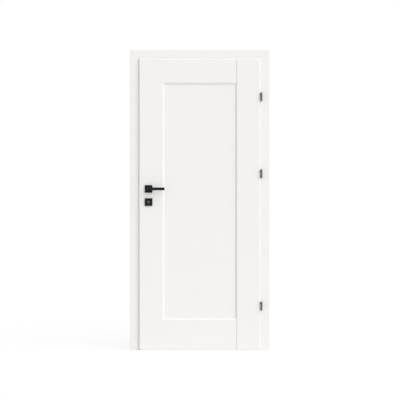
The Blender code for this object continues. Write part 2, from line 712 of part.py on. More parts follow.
# Key cylinder: one housing through the leaf, with a plug and keyway at each end
rosette_front = {"front": leaf_front - ROSETTE_THICKNESS, "back": leaf_back + ROSETTE_THICKNESS}
cylinder_front = rosette_front["front"] - CYLINDER_PROUD
cylinder_back = rosette_front["back"] + CYLINDER_PROUD
cylinder = prism("cylinder_housing", [cylinder_outline()], cylinder_back - cylinder_front,
                 (spindle_x, (cylinder_front + cylinder_back) / 2, cylinder_z), face_turn)
keyway_width, keyway_height, keyway_depth = KEYWAY_SIZE
for side, facing in (("front", -1), ("back", 1)):
    face = cylinder_front if side == "front" else cylinder_back
    inner = face - facing * PLUG_LENGTH
    plug_seat = rod(side + "_plug_seat", PLUG_RADIUS + JOINT_GAP,
                    (spindle_x, face + facing * CUT_MARGIN, cylinder_z),
                    (spindle_x, inner - facing * JOINT_GAP, cylinder_z))
    combine(cylinder, as_tool(plug_seat))
    plug = rod(side + "_cylinder_plug", PLUG_RADIUS, (spindle_x, face, cylinder_z),
               (spindle_x, inner, cylinder_z))
    slot_ends = sorted((face + facing * CUT_MARGIN, face - facing * keyway_depth))
    keyway = block(side + "_keyway",
                   (spindle_x - keyway_width / 2, slot_ends[0], cylinder_z - keyway_height / 2),
                   (spindle_x + keyway_width / 2, slot_ends[1], cylinder_z + keyway_height / 2))
    combine(plug, as_tool(keyway))
    keep(plug, side + "_cylinder_plug", leaf_pivot, dark_nickel)
keep(cylinder, "cylinder_housing", leaf_pivot, dark_nickel)

# Rosettes: square plates on both faces of the leaf, round the lever necks and the key cylinder
neck_hole = circle(NECK_RADIUS + JOINT_GAP)
cylinder_hole = [point + Vector((0, CYLINDER_DROP)) for point in cylinder_outline(JOINT_GAP)]
for side, facing in (("front", -1), ("back", 1)):
    leaf_face = leaf_front if side == "front" else leaf_back
    plate_y = leaf_face + facing * (JOINT_GAP + ROSETTE_THICKNESS) / 2
    plate_depth = ROSETTE_THICKNESS - JOINT_GAP
    square = rectangle(ROSETTE_SIZE, ROSETTE_SIZE, ROSETTE_CORNER)
    lever_plate = ("lever", neck_hole, spindle_z)
    cylinder_plate = ("cylinder", cylinder_hole, cylinder_z - CYLINDER_DROP)
    for use, hole, z in (lever_plate, cylinder_plate):
        name = f"{side}_{use}_rosette"
        rosette = prism(name, [square, hole], plate_depth, (spindle_x, plate_y, z), face_turn)
        ease_edges(rosette, ROSETTE_EASING)
        keep(rosette, name, leaf_pivot, black_coat)

# Lever set: two levers on one square spindle that turns in the lock
lever_root_y = LEVER_PROJECTION - LEVER_THICKNESS
for side, facing in (("front", -1), ("back", 1)):
    leaf_face = leaf_front if side == "front" else leaf_back
    shoulder = ROSETTE_THICKNESS + LEVER_SHOULDER_GAP
    plan = rounded([
        (-LEVER_ROOT, shoulder, 0),
        (LEVER_ROOT, shoulder, 0),
        (LEVER_ROOT, lever_root_y, LEVER_INNER_BEND),
        (LEVER_REACH, lever_root_y, LEVER_EASING),
        (LEVER_REACH, LEVER_PROJECTION, LEVER_EASING),
        (-LEVER_ROOT, LEVER_PROJECTION, LEVER_OUTER_BEND),
    ])
    plan = [(x, facing * y) for x, y in plan]
    lever = prism(side + "_lever", [plan], LEVER_HEIGHT, (spindle_x, leaf_face, spindle_z))
    ease_edges(lever, LEVER_EASING)
    neck_start = leaf_face + facing * NECK_GAP
    neck = rod(side + "_neck", NECK_RADIUS, (spindle_x, neck_start, spindle_z),
               (spindle_x, leaf_face + facing * (shoulder + LEVER_ROOT), spindle_z))
    combine(lever, as_tool(neck), "UNION")
    socket_half = SPINDLE_SIZE / 2 + JOINT_GAP
    socket_ends = sorted((leaf_face - facing * CUT_MARGIN, leaf_face + facing * (SOCKET_DEPTH + JOINT_GAP)))
    socket = block(side + "_socket", (spindle_x - socket_half, socket_ends[0], spindle_z - socket_half),
                   (spindle_x + socket_half, socket_ends[1], spindle_z + socket_half))
    combine(lever, as_tool(socket))
    keep(lever, side + "_lever", lever_pivot, black_coat)
spindle = block("spindle",
                (spindle_x - SPINDLE_SIZE / 2, leaf_front - SOCKET_DEPTH, spindle_z - SPINDLE_SIZE / 2),
                (spindle_x + SPINDLE_SIZE / 2, leaf_back + SOCKET_DEPTH, spindle_z + SPINDLE_SIZE / 2))
keep(spindle, "spindle", lever_pivot, zinc_steel)
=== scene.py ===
import math

import bmesh
import bpy
from mathutils import Matrix, Vector


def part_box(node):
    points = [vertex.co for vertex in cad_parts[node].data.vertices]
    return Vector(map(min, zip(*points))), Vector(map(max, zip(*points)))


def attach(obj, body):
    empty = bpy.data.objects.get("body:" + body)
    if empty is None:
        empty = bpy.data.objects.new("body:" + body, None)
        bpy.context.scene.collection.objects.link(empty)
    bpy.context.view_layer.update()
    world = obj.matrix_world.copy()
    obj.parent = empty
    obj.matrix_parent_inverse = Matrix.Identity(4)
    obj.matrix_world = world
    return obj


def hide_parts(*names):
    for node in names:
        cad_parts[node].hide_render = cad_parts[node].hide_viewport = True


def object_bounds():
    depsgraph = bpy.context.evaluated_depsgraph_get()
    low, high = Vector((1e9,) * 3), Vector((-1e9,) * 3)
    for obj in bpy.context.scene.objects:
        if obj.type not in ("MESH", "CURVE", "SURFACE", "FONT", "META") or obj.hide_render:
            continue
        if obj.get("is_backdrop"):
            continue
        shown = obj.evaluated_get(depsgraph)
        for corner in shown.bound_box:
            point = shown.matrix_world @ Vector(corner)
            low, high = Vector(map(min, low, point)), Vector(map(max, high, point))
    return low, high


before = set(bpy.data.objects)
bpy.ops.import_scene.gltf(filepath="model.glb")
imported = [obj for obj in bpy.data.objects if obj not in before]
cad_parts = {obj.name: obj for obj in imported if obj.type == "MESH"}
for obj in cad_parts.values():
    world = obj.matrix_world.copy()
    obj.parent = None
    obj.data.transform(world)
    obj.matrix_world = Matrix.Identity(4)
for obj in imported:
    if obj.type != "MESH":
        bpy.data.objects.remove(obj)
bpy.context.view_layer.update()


# Jambs
# Three lining boards of lacquered fibreboard, 36 mm thick, with a rebate that the leaf shuts into and
# a groove in the back edge for the far casing's tongue. They are mitred at the head with a hairline
# joint, cramped together, and packed and foamed into the wall opening.
WALL_FRONT = -0.060
WALL_BACK = 0.060
HAIRLINE = 0.0003
OVERRUN = 0.004
SAME_SPOT = 0.00001
ARC_STEPS = 8
ROUND_SIDES = 48
STOP_WIDTH = 0.013
STOP_FACE = -0.0485
JAMB_THICKNESS = 0.036
JAMB_ARRIS = 0.002
RELIEF_DEPTH = 0.002
JAMB_FRONT = WALL_FRONT - RELIEF_DEPTH + HAIRLINE
SEAL_GROOVE = (0.0060, 0.0090, 0.0048)
TONGUE_GROOVE = (0.0177, 0.0243, 0.036)
HARD_EDGE = math.radians(30)
BOARD_EASING = 0.0004
LACQUER_WHITE = (0.900, 0.883, 0.864)
GRAIN_DETAIL = 3.0
GRAIN_RANGE = (0.3, 0.7)
GLOSS_SWING = 0.06
DRIFT_GRAIN = 6.0
DRIFT_DETAIL = 2.0

passage_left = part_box("lock_jamb")[1].x
passage_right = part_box("hinge_jamb")[0].x
passage_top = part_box("head_jamb")[0].z
passage_middle = (passage_left + passage_right) / 2


def add_node(tree, kind, feeds=(), **settings):
    """Puts a node in a tree. Each feed is an input and its value, or the output that runs into it."""
    node = tree.nodes.new(kind)
    for setting, value in settings.items():
        setattr(node, setting, value)
    for socket, source in dict(feeds).items():
        if isinstance(source, bpy.types.NodeSocket):
            tree.links.new(source, node.inputs[socket])
        else:
            node.inputs[socket].default_value = source
    return node


def surface_finish(name, colour, roughness, metallic, grain, relief, drift, stretch=(1, 1, 1)):
    """A finish with fine grain in its surface, and a slow drift in its colour and its gloss."""
    finish = bpy.data.materials.new(name)
    finish.use_nodes = True
    tree = finish.node_tree
    shader = tree.nodes["Principled BSDF"]
    shader.inputs["Metallic"].default_value = metallic
    place = add_node(tree, "ShaderNodeTexCoord").outputs["Object"]
    stretched = add_node(tree, "ShaderNodeMapping", {"Vector": place, "Scale": stretch})
    fine = add_node(tree, "ShaderNodeTexNoise",
                    {"Vector": stretched.outputs["Vector"], "Scale": grain, "Detail": GRAIN_DETAIL})
    slow = add_node(tree, "ShaderNodeTexNoise",
                    {"Vector": place, "Scale": DRIFT_GRAIN, "Detail": DRIFT_DETAIL})
    darker = tuple(channel * (1 - drift) for channel in colour)
    tint = add_node(tree, "ShaderNodeMix", {0: slow.outputs["Fac"], 6: (*darker, 1), 7: (*colour, 1)},
                    data_type="RGBA")
    gloss = add_node(tree, "ShaderNodeMapRange",
                     {"Value": fine.outputs["Fac"], "From Min": GRAIN_RANGE[0],
                      "From Max": GRAIN_RANGE[1], "To Min": roughness - GLOSS_SWING,
                      "To Max": roughness + GLOSS_SWING})
    bump = add_node(tree, "ShaderNodeBump",
                    {"Height": fine.outputs["Fac"], "Distance": relief, "Strength": 1.0})
    tree.links.new(tint.outputs[2], shader.inputs["Base Color"])
    tree.links.new(gloss.outputs["Result"], shader.inputs["Roughness"])
    tree.links.new(bump.outputs["Normal"], shader.inputs["Normal"])
    return finish


def rounded(corners, steps=ARC_STEPS):
    """An outline from corners (x, y, radius), with an arc where there is a radius."""
    outline = []
    for i, (x, y, radius) in enumerate(corners):
        corner = Vector((x, y))
        if not radius:
            outline.append(corner)
            continue
        before = (Vector(corners[i - 1][:2]) - corner).normalized()
        after = (Vector(corners[(i + 1) % len(corners)][:2]) - corner).normalized()
        half = before.angle(after) / 2
        centre = corner + (before + after).normalized() * radius / math.sin(half)
        first = corner + before * radius / math.tan(half) - centre
        last = corner + after * radius / math.tan(half) - centre
        sweep = math.pi - 2 * half
        for step in range(steps + 1):
            share = step / steps
            spoke = first * math.sin((1 - share) * sweep) + last * math.sin(share * sweep)
            outline.append(centre + spoke / math.sin(sweep))
    return outline


def new_tree(name, inputs):
    """An empty Geometry Nodes tree with named inputs, and its two ends."""
    tree = bpy.data.node_groups.new(name, "GeometryNodeTree")
    tree.interface.new_socket("Geometry", in_out="OUTPUT", socket_type="NodeSocketGeometry")
    tree.interface.new_socket("Geometry", in_out="INPUT", socket_type="NodeSocketGeometry")
    for label, kind in inputs:
        tree.interface.new_socket(label, in_out="INPUT", socket_type="NodeSocket" + kind)
    return tree, add_node(tree, "NodeGroupInput").outputs, add_node(tree, "NodeGroupOutput")


def end_tree(tree, geometry, ends, finish):
    """Turns what a tree made into real faces with their finish, and sends it out."""
    real = add_node(tree, "GeometryNodeRealizeInstances", {"Geometry": geometry})
    made = add_node(tree, "GeometryNodeSetMaterial", {"Geometry": real.outputs[0], "Material": finish})
    tree.links.new(made.outputs[0], ends.inputs[0])


def mitred_strip_tree():
    """Runs a flat section to a length, and slants each end to its mitre."""
    tree, given, ends = new_tree("mitred strip", [("Length", "Float"), ("Lower Mitre", "Float"),
                                                  ("Upper Mitre", "Float"), ("Finish", "Material")])
    along = add_node(tree, "ShaderNodeCombineXYZ", {"Z": given["Length"]})
    run = add_node(tree, "GeometryNodeExtrudeMesh",
                   {"Mesh": given["Geometry"], "Offset": along.outputs[0], "Offset Scale": 1.0,
                    "Individual": False}, mode="FACES")
    foot = add_node(tree, "GeometryNodeFlipFaces", {"Mesh": given["Geometry"]})
    both = add_node(tree, "GeometryNodeJoinGeometry", {"Geometry": run.outputs["Mesh"]})
    tree.links.new(foot.outputs[0], both.inputs[0])
    closed = add_node(tree, "GeometryNodeMergeByDistance",
                      {"Geometry": both.outputs[0], "Distance": SAME_SPOT})
    spot = add_node(tree, "GeometryNodeInputPosition")
    parts = add_node(tree, "ShaderNodeSeparateXYZ", {0: spot.outputs[0]})
    half = add_node(tree, "ShaderNodeMath", {0: given["Length"], 1: 0.5}, operation="MULTIPLY")
    upper = add_node(tree, "ShaderNodeMath", {0: parts.outputs["Z"], 1: half.outputs[0]},
                     operation="GREATER_THAN")
    back = add_node(tree, "ShaderNodeMath", {0: given["Lower Mitre"], 1: -1.0}, operation="MULTIPLY")
    slope = add_node(tree, "GeometryNodeSwitch",
                     {"Switch": upper.outputs[0], "False": back.outputs[0],
                      "True": given["Upper Mitre"]}, input_type="FLOAT")
    shift = add_node(tree, "ShaderNodeMath", {0: parts.outputs["X"], 1: slope.outputs[0]},
                     operation="MULTIPLY")
    move = add_node(tree, "ShaderNodeCombineXYZ", {"Z": shift.outputs[0]})
    slanted = add_node(tree, "GeometryNodeSetPosition",
                       {"Geometry": closed.outputs[0], "Offset": move.outputs[0]})
    smooth = add_node(tree, "GeometryNodeSetShadeSmooth", {"Geometry": slanted.outputs[0]})
    end_tree(tree, smooth.outputs[0], ends, given["Finish"])
    return tree


def placed(name, data):
    """An object in the scene that holds a mesh, a curve, a lamp or a camera."""
    thing = bpy.data.objects.new(name, data)
    bpy.context.scene.collection.objects.link(thing)
    return thing


def taken_off(blank):
    """The plain mesh of an object after all its modifiers. The object goes."""
    seen = blank.evaluated_get(bpy.context.evaluated_depsgraph_get())
    mesh = bpy.data.meshes.new_from_object(seen)
    bpy.data.objects.remove(blank)
    return mesh


def grown(mesh, tree, values):
    """What a tree makes of a mesh, as a plain mesh."""
    seed = placed("seed", mesh)
    step = seed.modifiers.new("grown", "NODES")
    step.node_group = tree
    for socket in tree.interface.items_tree:
        if socket.name in values:
            step[socket.identifier] = values[socket.name]
    return taken_off(seed)


def ease_edges(piece, width, steps):
    """Rounds a piece's hard edges with a modifier."""
    ease = piece.modifiers.new("eased edges", "BEVEL")
    ease.width = width
    ease.segments = steps
    ease.limit_method = "ANGLE"
    ease.angle_limit = HARD_EDGE


def eased(mesh, width, steps=2):
    """A mesh with its hard edges rounded."""
    blank = placed("blank", mesh)
    ease_edges(blank, width, steps)
    return taken_off(blank)


def worked(mesh, tools):
    """A mesh after it is cut by, or joined to, other meshes. Each tool is a mesh and what it does."""
    blank = placed("blank", mesh)
    helpers = []
    for tool_mesh, action in tools:
        tool = placed("tool", tool_mesh)
        helpers.append(tool)
        step = blank.modifiers.new("work", "BOOLEAN")
        step.object = tool
        step.operation = action
        step.solver = "EXACT"
    result = taken_off(blank)
    for helper in helpers:
        bpy.data.objects.remove(helper)
    shape = bmesh.new()
    shape.from_mesh(result)
    bmesh.ops.dissolve_degenerate(shape, dist=SAME_SPOT / 5, edges=shape.edges)
    shape.to_mesh(result)
    shape.free()
    return result


def rod(radius, start, end, sides=ROUND_SIDES):
    """A round bar from one point to another, as a mesh."""
    start = Vector(start)
    end = Vector(end)
    along = end - start
    turn = along.to_track_quat("Z", "Y").to_matrix().to_4x4()
    shape = bmesh.new()
    bmesh.ops.create_cone(shape, cap_ends=True, segments=sides, radius1=radius, radius2=radius,
                          depth=along.length, matrix=Matrix.Translation((start + end) / 2) @ turn)
    mesh = bpy.data.meshes.new("rod")
    shape.to_mesh(mesh)
    shape.free()
    return mesh


def finished(name, mesh, body, finish, stands_for, easing=0.0, steps=2):
    """Puts a piece on its body, with its finish and its hard edges eased."""
    mesh.name = name
    mesh.materials.clear()
    mesh.materials.append(finish)
    mesh.shade_smooth()
    piece = placed(name, mesh)
    if easing:
        ease_edges(piece, easing, steps)
    piece.modifiers.new("flat faces stay flat", "WEIGHTED_NORMAL")
    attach(piece, body)
    if stands_for:
        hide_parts(*stands_for)


def frame_strip(section, side, finish):
    """Runs a section (distance out from the passage, depth) up a side of the frame or over its head."""
    flat = bpy.data.meshes.new("section")
    flat.from_pydata([(x, y, 0) for x, y in section], [], [range(len(section))])
    if flat.polygons[0].normal.z < 0:
        flat.flip_normals()
    width = passage_right - passage_left
    length = width - 2 * HAIRLINE if side == "head" else passage_top
    mesh = grown(flat, strip, {"Length": length, "Lower Mitre": float(side == "head"),
                               "Upper Mitre": 1.0, "Finish": finish})
    if side == "head":
        out, along, corner = (0, 0, 1), (-1, 0, 0), (passage_middle + length / 2, 0, passage_top)
    elif side == "hinge_side":
        out, along, corner = (1, 0, 0), (0, 0, 1), (passage_right, 0, 0)
    else:
        out, along, corner = (-1, 0, 0), (0, 0, 1), (passage_left, 0, 0)
    place = Matrix((out, (0, 1, 0), along)).transposed().to_4x4()
    mesh.transform(Matrix.Translation(corner) @ place)
    if side == "lock_side":
        mesh.flip_normals()
    return mesh


lacquer = surface_finish("white lacquer", LACQUER_WHITE, roughness=0.42, metallic=0.0, grain=700,
                         relief=0.000012, drift=0.006)
strip = mitred_strip_tree()

seal_near, seal_far, seal_deep = SEAL_GROOVE
tongue_near, tongue_far, tongue_deep = TONGUE_GROOVE
jamb_section = rounded([
    (STOP_WIDTH, JAMB_FRONT, 0),
    (STOP_WIDTH, STOP_FACE, 0),
    (seal_far, STOP_FACE, 0),
    (seal_far, STOP_FACE + seal_deep, 0),
    (seal_near, STOP_FACE + seal_deep, 0),
    (seal_near, STOP_FACE, 0),
    (0, STOP_FACE, JAMB_ARRIS),
    (0, WALL_BACK - HAIRLINE, 0),
    (tongue_near, WALL_BACK - HAIRLINE, 0),
    (tongue_near, WALL_BACK - tongue_deep, 0),
    (tongue_far, WALL_BACK - tongue_deep, 0),
    (tongue_far, WALL_BACK - HAIRLINE, 0),
    (JAMB_THICKNESS, WALL_BACK - HAIRLINE, 0),
    (JAMB_THICKNESS, JAMB_FRONT, 0),
])

HINGES = ("lower", "middle", "upper")
HINGE_LENGTH = 0.063
KNUCKLE_RADIUS = 0.0065
SHANK_RADIUS = 0.0035
FRAME_SHANK_OFFSET = 0.003

hinge_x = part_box("lower_hinge_leaf_part")[1].x - KNUCKLE_RADIUS
frame_shank_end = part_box("lower_hinge_frame_part")[1].y
hinge_centres = {}
frame_shanks = {}
for level in HINGES:
    low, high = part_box(level + "_hinge_frame_part")
    centre = Vector((hinge_x, low.y + KNUCKLE_RADIUS, low.z + HINGE_LENGTH / 2))
    hinge_centres[level] = centre
    frame_shanks[level] = centre + Vector((FRAME_SHANK_OFFSET, 0, -HINGE_LENGTH / 4))

STRIKE_HOLE_MARGIN = 0.0015
STRIKE_CORNER = 0.002
POCKET_DEPTHS = (0.014, 0.024)
STRAIGHT = 0.01

strike_low, strike_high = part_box("strike_plate")
latch_low, latch_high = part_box("latch_bolt")
bolt_low, bolt_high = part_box("dead_bolt")


def flat_plate(outlines, thickness, place, easing=0.0, steps=2):
    """A flat plate with any holes and rounded edges, as a mesh: it lies across the matrix's X and Y."""
    curve = bpy.data.curves.new("outline", "CURVE")
    curve.dimensions = "2D"
    curve.fill_mode = "BOTH"
    curve.extrude = thickness / 2 - easing
    curve.bevel_depth = easing
    curve.bevel_resolution = steps
    curve.offset = -easing
    for outline in outlines:
        spline = curve.splines.new("POLY")
        spline.points.add(len(outline) - 1)
        spline.use_cyclic_u = True
        for point, (x, y) in zip(spline.points, outline):
            point.co = (x, y, 0, 1)
    mesh = taken_off(placed("outline", curve))
    shape = bmesh.new()
    shape.from_mesh(mesh)
    bmesh.ops.remove_doubles(shape, verts=shape.verts, dist=SAME_SPOT)
    bmesh.ops.dissolve_limit(shape, angle_limit=STRAIGHT, verts=shape.verts, edges=shape.edges)
    bmesh.ops.transform(shape, matrix=place, verts=shape.verts)
    bmesh.ops.recalc_face_normals(shape, faces=shape.faces)
    shape.to_mesh(mesh)
    shape.free()
    return mesh


def rectangle(low, high, corner=0.0, steps=ARC_STEPS):
    """The outline of a rectangle between two corners."""
    return rounded([(low[0], low[1], corner), (high[0], low[1], corner),
                    (high[0], high[1], corner), (low[0], high[1], corner)], steps)


def on_edge(x):
    """The place of a flat shape that faces along X, with its outline's X on Y and its Y on Z."""
    return Matrix(((0, 0, 1, x), (1, 0, 0, 0), (0, 1, 0, 0), (0, 0, 0, 1)))


def from_edge(low, high, growth=0.0, corner=0.0):
    """The outline of a box on Y and Z, made larger all round."""
    return rectangle((low.y - growth, low.z - growth), (high.y + growth, high.z + growth), corner)


def bolt_outlines(growth):
    """The outlines of the holes for the latch and the dead bolt."""
    return [from_edge(latch_low, latch_high, growth), from_edge(bolt_low, bolt_high, growth)]


def strike_housing():
    """What is cut from the frame for the strike plate: its seat, and a pocket behind each hole."""
    seat = from_edge(strike_low, strike_high, HAIRLINE, STRIKE_CORNER)
    seat_depth = strike_high.x - strike_low.x + HAIRLINE
    cuts = []
    for outline, depth in zip([seat, *bolt_outlines(STRIKE_HOLE_MARGIN)], [seat_depth, *POCKET_DEPTHS]):
        middle = strike_high.x - (depth - OVERRUN) / 2
        cuts.append((flat_plate([outline], depth + OVERRUN, on_edge(middle)), "DIFFERENCE"))
    return cuts


def hinge_bores():
    """What is cut from the frame for the hinges' shanks."""
    return [(rod(SHANK_RADIUS + HAIRLINE, start, (start.x, frame_shank_end + HAIRLINE, start.z)),
             "DIFFERENCE") for start in frame_shanks.values()]


for side, node, cuts in (("hinge_side", "hinge_jamb", hinge_bores()), ("head", "head_jamb", []),
                         ("lock_side", "lock_jamb", strike_housing())):
    board = worked(eased(frame_strip(jamb_section, side, lacquer), BOARD_EASING), cuts)
    finished(node + "_board", board, "frame", lacquer, [node])


# Seals
# A soft grey extruded strip on the stop, in three lengths mitred at the head: a low bead, dipped along
# its middle, that the leaf closes on, and a barbed foot that is pushed into a groove without glue.
SEAL_SETBACK = 0.0075
SEAL_WIDTH = 0.008
SEAL_PROUD = 0.002
SEAL_ROUND = 0.0012
DIP_WIDTH = 0.0018
DIP_DEPTH = 0.0003
DIP_ROUNDS = (0.0004, 0.0006)
FOOT_WIDTH = 0.0024
FOOT_LENGTH = 0.0045
BARBS = (0.0011, 0.0027)
BARB_RISE = 0.0002
BARB_PROUD = 0.0004
SEAL_ARC_STEPS = 4
SEAL_GREY = (0.46, 0.46, 0.45)

seal_front = STOP_FACE - SEAL_PROUD
seal_seat = STOP_FACE - HAIRLINE
root_half = FOOT_WIDTH / 2 - BARB_PROUD
half_section = [
    (DIP_WIDTH / 2, seal_front, DIP_ROUNDS[1]),
    (SEAL_WIDTH / 2, seal_front, SEAL_ROUND),
    (SEAL_WIDTH / 2, seal_seat, 0),
    (root_half, seal_seat, 0),
]
for barb in BARBS:
    half_section.append((root_half, STOP_FACE + barb - BARB_RISE, 0))
    half_section.append((FOOT_WIDTH / 2, STOP_FACE + barb, 0))
half_section.append((root_half, STOP_FACE + FOOT_LENGTH, 0))
seal_section = rounded([
    (SEAL_SETBACK, seal_front + DIP_DEPTH, DIP_ROUNDS[0]),
    *[(SEAL_SETBACK + aside, depth, radius) for aside, depth, radius in half_section],
    *[(SEAL_SETBACK - aside, depth, radius) for aside, depth, radius in reversed(half_section)],
], SEAL_ARC_STEPS)
seal_rubber = surface_finish("seal rubber", SEAL_GREY, roughness=0.72, metallic=0.0, grain=1500,
                             relief=0.00003, drift=0.04)
for side in ("hinge_side", "head", "lock_side"):
    finished(f"seal_{side}_strip", frame_strip(seal_section, side, seal_rubber), "frame",
             seal_rubber, ["seal_" + side])


# Front casings
# Flat lacquered boards, 70 by 16 mm, mitred at the head. Their front arrises are rounded, their backs
# are relieved so that the outer band lies tight on the wall, and they are glued to the jambs.
CASING_OUT = 0.083
CASING_THICKNESS = 0.016
CASING_ARRIS = 0.003
CASING_INNER_ARRIS = 0.001
RELIEF_START = 0.040

casing_front = WALL_FRONT - CASING_THICKNESS
front_casing_section = rounded([
    (STOP_WIDTH, WALL_FRONT - RELIEF_DEPTH, 0),
    (STOP_WIDTH, casing_front, CASING_INNER_ARRIS),
    (CASING_OUT, casing_front, CASING_ARRIS),
    (CASING_OUT, WALL_FRONT, 0),
    (RELIEF_START, WALL_FRONT, 0),
    (RELIEF_START, WALL_FRONT - RELIEF_DEPTH, 0),
])
for side, cuts in (("hinge_side", hinge_bores()), ("head", []), ("lock_side", strike_housing())):
    board = worked(eased(frame_strip(front_casing_section, side, lacquer), BOARD_EASING), cuts)
    finished(f"front_casing_{side}_board", board, "frame", lacquer,
             ["front_casing_" + side])


# Back casings
# The same boards for the far face of the wall, each with a 6 mm tongue glued along its back. The
# tongue slides in the jamb's groove, so that the frame closes on walls of different thickness.
BACK_REVEAL = 0.005
TONGUE_SETBACK = 0.018
TONGUE_THICKNESS = 0.006
TONGUE_LENGTH = 0.030

casing_back = WALL_BACK + CASING_THICKNESS
tongue_out = TONGUE_SETBACK + TONGUE_THICKNESS
back_casing_section = rounded([
    (BACK_REVEAL, WALL_BACK, 0),
    (TONGUE_SETBACK, WALL_BACK, 0),
    (TONGUE_SETBACK, WALL_BACK - TONGUE_LENGTH, 0),
    (tongue_out, WALL_BACK - TONGUE_LENGTH, 0),
    (tongue_out, WALL_BACK + RELIEF_DEPTH, 0),
    (RELIEF_START, WALL_BACK + RELIEF_DEPTH, 0),
    (RELIEF_START, WALL_BACK, 0),
    (CASING_OUT, WALL_BACK, 0),
    (CASING_OUT, casing_back, CASING_ARRIS),
    (BACK_REVEAL, casing_back, CASING_ARRIS),
])
for side in ("hinge_side", "head", "lock_side"):
    finished(f"back_casing_{side}_board", frame_strip(back_casing_section, side, lacquer), "frame",
             lacquer, ["back_casing_" + side], BOARD_EASING)


# Strike plate
# A zinc-plated steel plate with square holes for the latch and the dead bolt, stamped from 2 mm strip
# and let in flush with the rebate. Two countersunk screws with cross recesses hold it to the jamb.
STRIKE_SCREW_INSET = 0.012
SCREW_HEAD_RADIUS = 0.0037
SCREW_HEAD_HEIGHT = 0.0019
SCREW_SHANK_RADIUS = 0.0018
SCREW_SINK = 0.00015
SCREW_SIDES = 40
RECESS_WIDTH = 0.0009
RECESS_REACH = 1.1
SINK_OVERRUN = 0.0003
STRIKE_TURN_SEED = 4
PLATE_EASING = 0.00025
ZINC_GREY = (0.60, 0.61, 0.62)

zinc_steel = surface_finish("zinc-plated steel", ZINC_GREY, roughness=0.34, metallic=1.0, grain=260,
                            relief=0.00001, drift=0.10, stretch=(1, 6, 0.35))


def screw_tree():
    """Sets a countersunk screw with a cross recess at each point, each turned by its own amount."""
    tree, given, ends = new_tree("countersunk screws", [
        ("Head Radius", "Float"), ("Shank Radius", "Float"), ("Head Height", "Float"),
        ("Recess Width", "Float"), ("Facing", "Rotation"), ("Turn Seed", "Int"), ("Finish", "Material")])
    head = add_node(tree, "GeometryNodeMeshCone",
                    {"Vertices": SCREW_SIDES, "Radius Top": given["Head Radius"],
                     "Radius Bottom": given["Shank Radius"], "Depth": given["Head Height"]})
    drop = add_node(tree, "ShaderNodeMath", {0: given["Head Height"], 1: -1.0}, operation="MULTIPLY")
    down = add_node(tree, "ShaderNodeCombineXYZ", {"Z": drop.outputs[0]})
    seated = add_node(tree, "GeometryNodeTransform",
                      {"Geometry": head.outputs["Mesh"], "Translation": down.outputs[0]})
    reach = add_node(tree, "ShaderNodeMath", {0: given["Head Radius"], 1: RECESS_REACH},
                     operation="MULTIPLY")
    arms = []
    for order in ("XY", "YX"):
        size = add_node(tree, "ShaderNodeCombineXYZ",
                        {order[0]: reach.outputs[0], order[1]: given["Recess Width"],
                         "Z": given["Head Height"]})
        arms.append(add_node(tree, "GeometryNodeMeshCube", {"Size": size.outputs[0]}))
    cut = add_node(tree, "GeometryNodeMeshBoolean", {"Mesh 1": seated.outputs[0]},
                   operation="DIFFERENCE", solver="EXACT")
    for arm in arms:
        tree.links.new(arm.outputs["Mesh"], cut.inputs["Mesh 2"])
    spin = add_node(tree, "FunctionNodeRandomValue", {"Seed": given["Turn Seed"]}, data_type="FLOAT")
    spin.inputs[3].default_value = math.pi
    around = add_node(tree, "ShaderNodeCombineXYZ", {"Z": spin.outputs[1]})
    set_out = add_node(tree, "GeometryNodeInstanceOnPoints",
                       {"Points": given["Geometry"], "Instance": cut.outputs["Mesh"],
                        "Rotation": given["Facing"]})
    turned_in = add_node(tree, "GeometryNodeRotateInstances",
                         {"Instances": set_out.outputs[0], "Rotation": around.outputs[0],
                          "Local Space": True})
    end_tree(tree, turned_in.outputs[0], ends, given["Finish"])
    return tree


def screws(name, places, facing, body, seed, finish):
    """Countersunk screws whose heads face one way, as one piece."""
    spots = bpy.data.meshes.new("places")
    spots.from_pydata(places, [], [])
    turn = Vector(facing).to_track_quat("Z", "Y").to_euler()
    mesh = grown(spots, screw_maker,
                 {"Head Radius": SCREW_HEAD_RADIUS, "Shank Radius": SCREW_SHANK_RADIUS,
                  "Head Height": SCREW_HEAD_HEIGHT, "Recess Width": RECESS_WIDTH, "Facing": turn,
                  "Turn Seed": seed, "Finish": finish})
    mesh.name = name
    mesh.set_sharp_from_angle(angle=HARD_EDGE)
    piece = placed(name, mesh)
    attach(piece, body)


def countersinks(places, facing):
    """What is cut from a plate so that its screws sit flush: a cone at each place."""
    cuts = []
    turn = Vector(facing).to_track_quat("Z", "Y").to_matrix().to_4x4()
    depth = SCREW_HEAD_HEIGHT + 2 * SINK_OVERRUN
    slope = (SCREW_HEAD_RADIUS - SCREW_SHANK_RADIUS) / SCREW_HEAD_HEIGHT
    mouth = SCREW_HEAD_RADIUS + HAIRLINE + slope * SINK_OVERRUN
    sunk = Matrix.Translation((0, 0, SINK_OVERRUN + SCREW_SINK - depth / 2))
    for spot in places:
        shape = bmesh.new()
        bmesh.ops.create_cone(shape, cap_ends=True, segments=SCREW_SIDES, radius1=mouth - slope * depth,
                              radius2=mouth, depth=depth, matrix=Matrix.Translation(spot) @ turn @ sunk)
        mesh = bpy.data.meshes.new("countersink")
        shape.to_mesh(mesh)
        shape.free()
        cuts.append((mesh, "DIFFERENCE"))
    return cuts


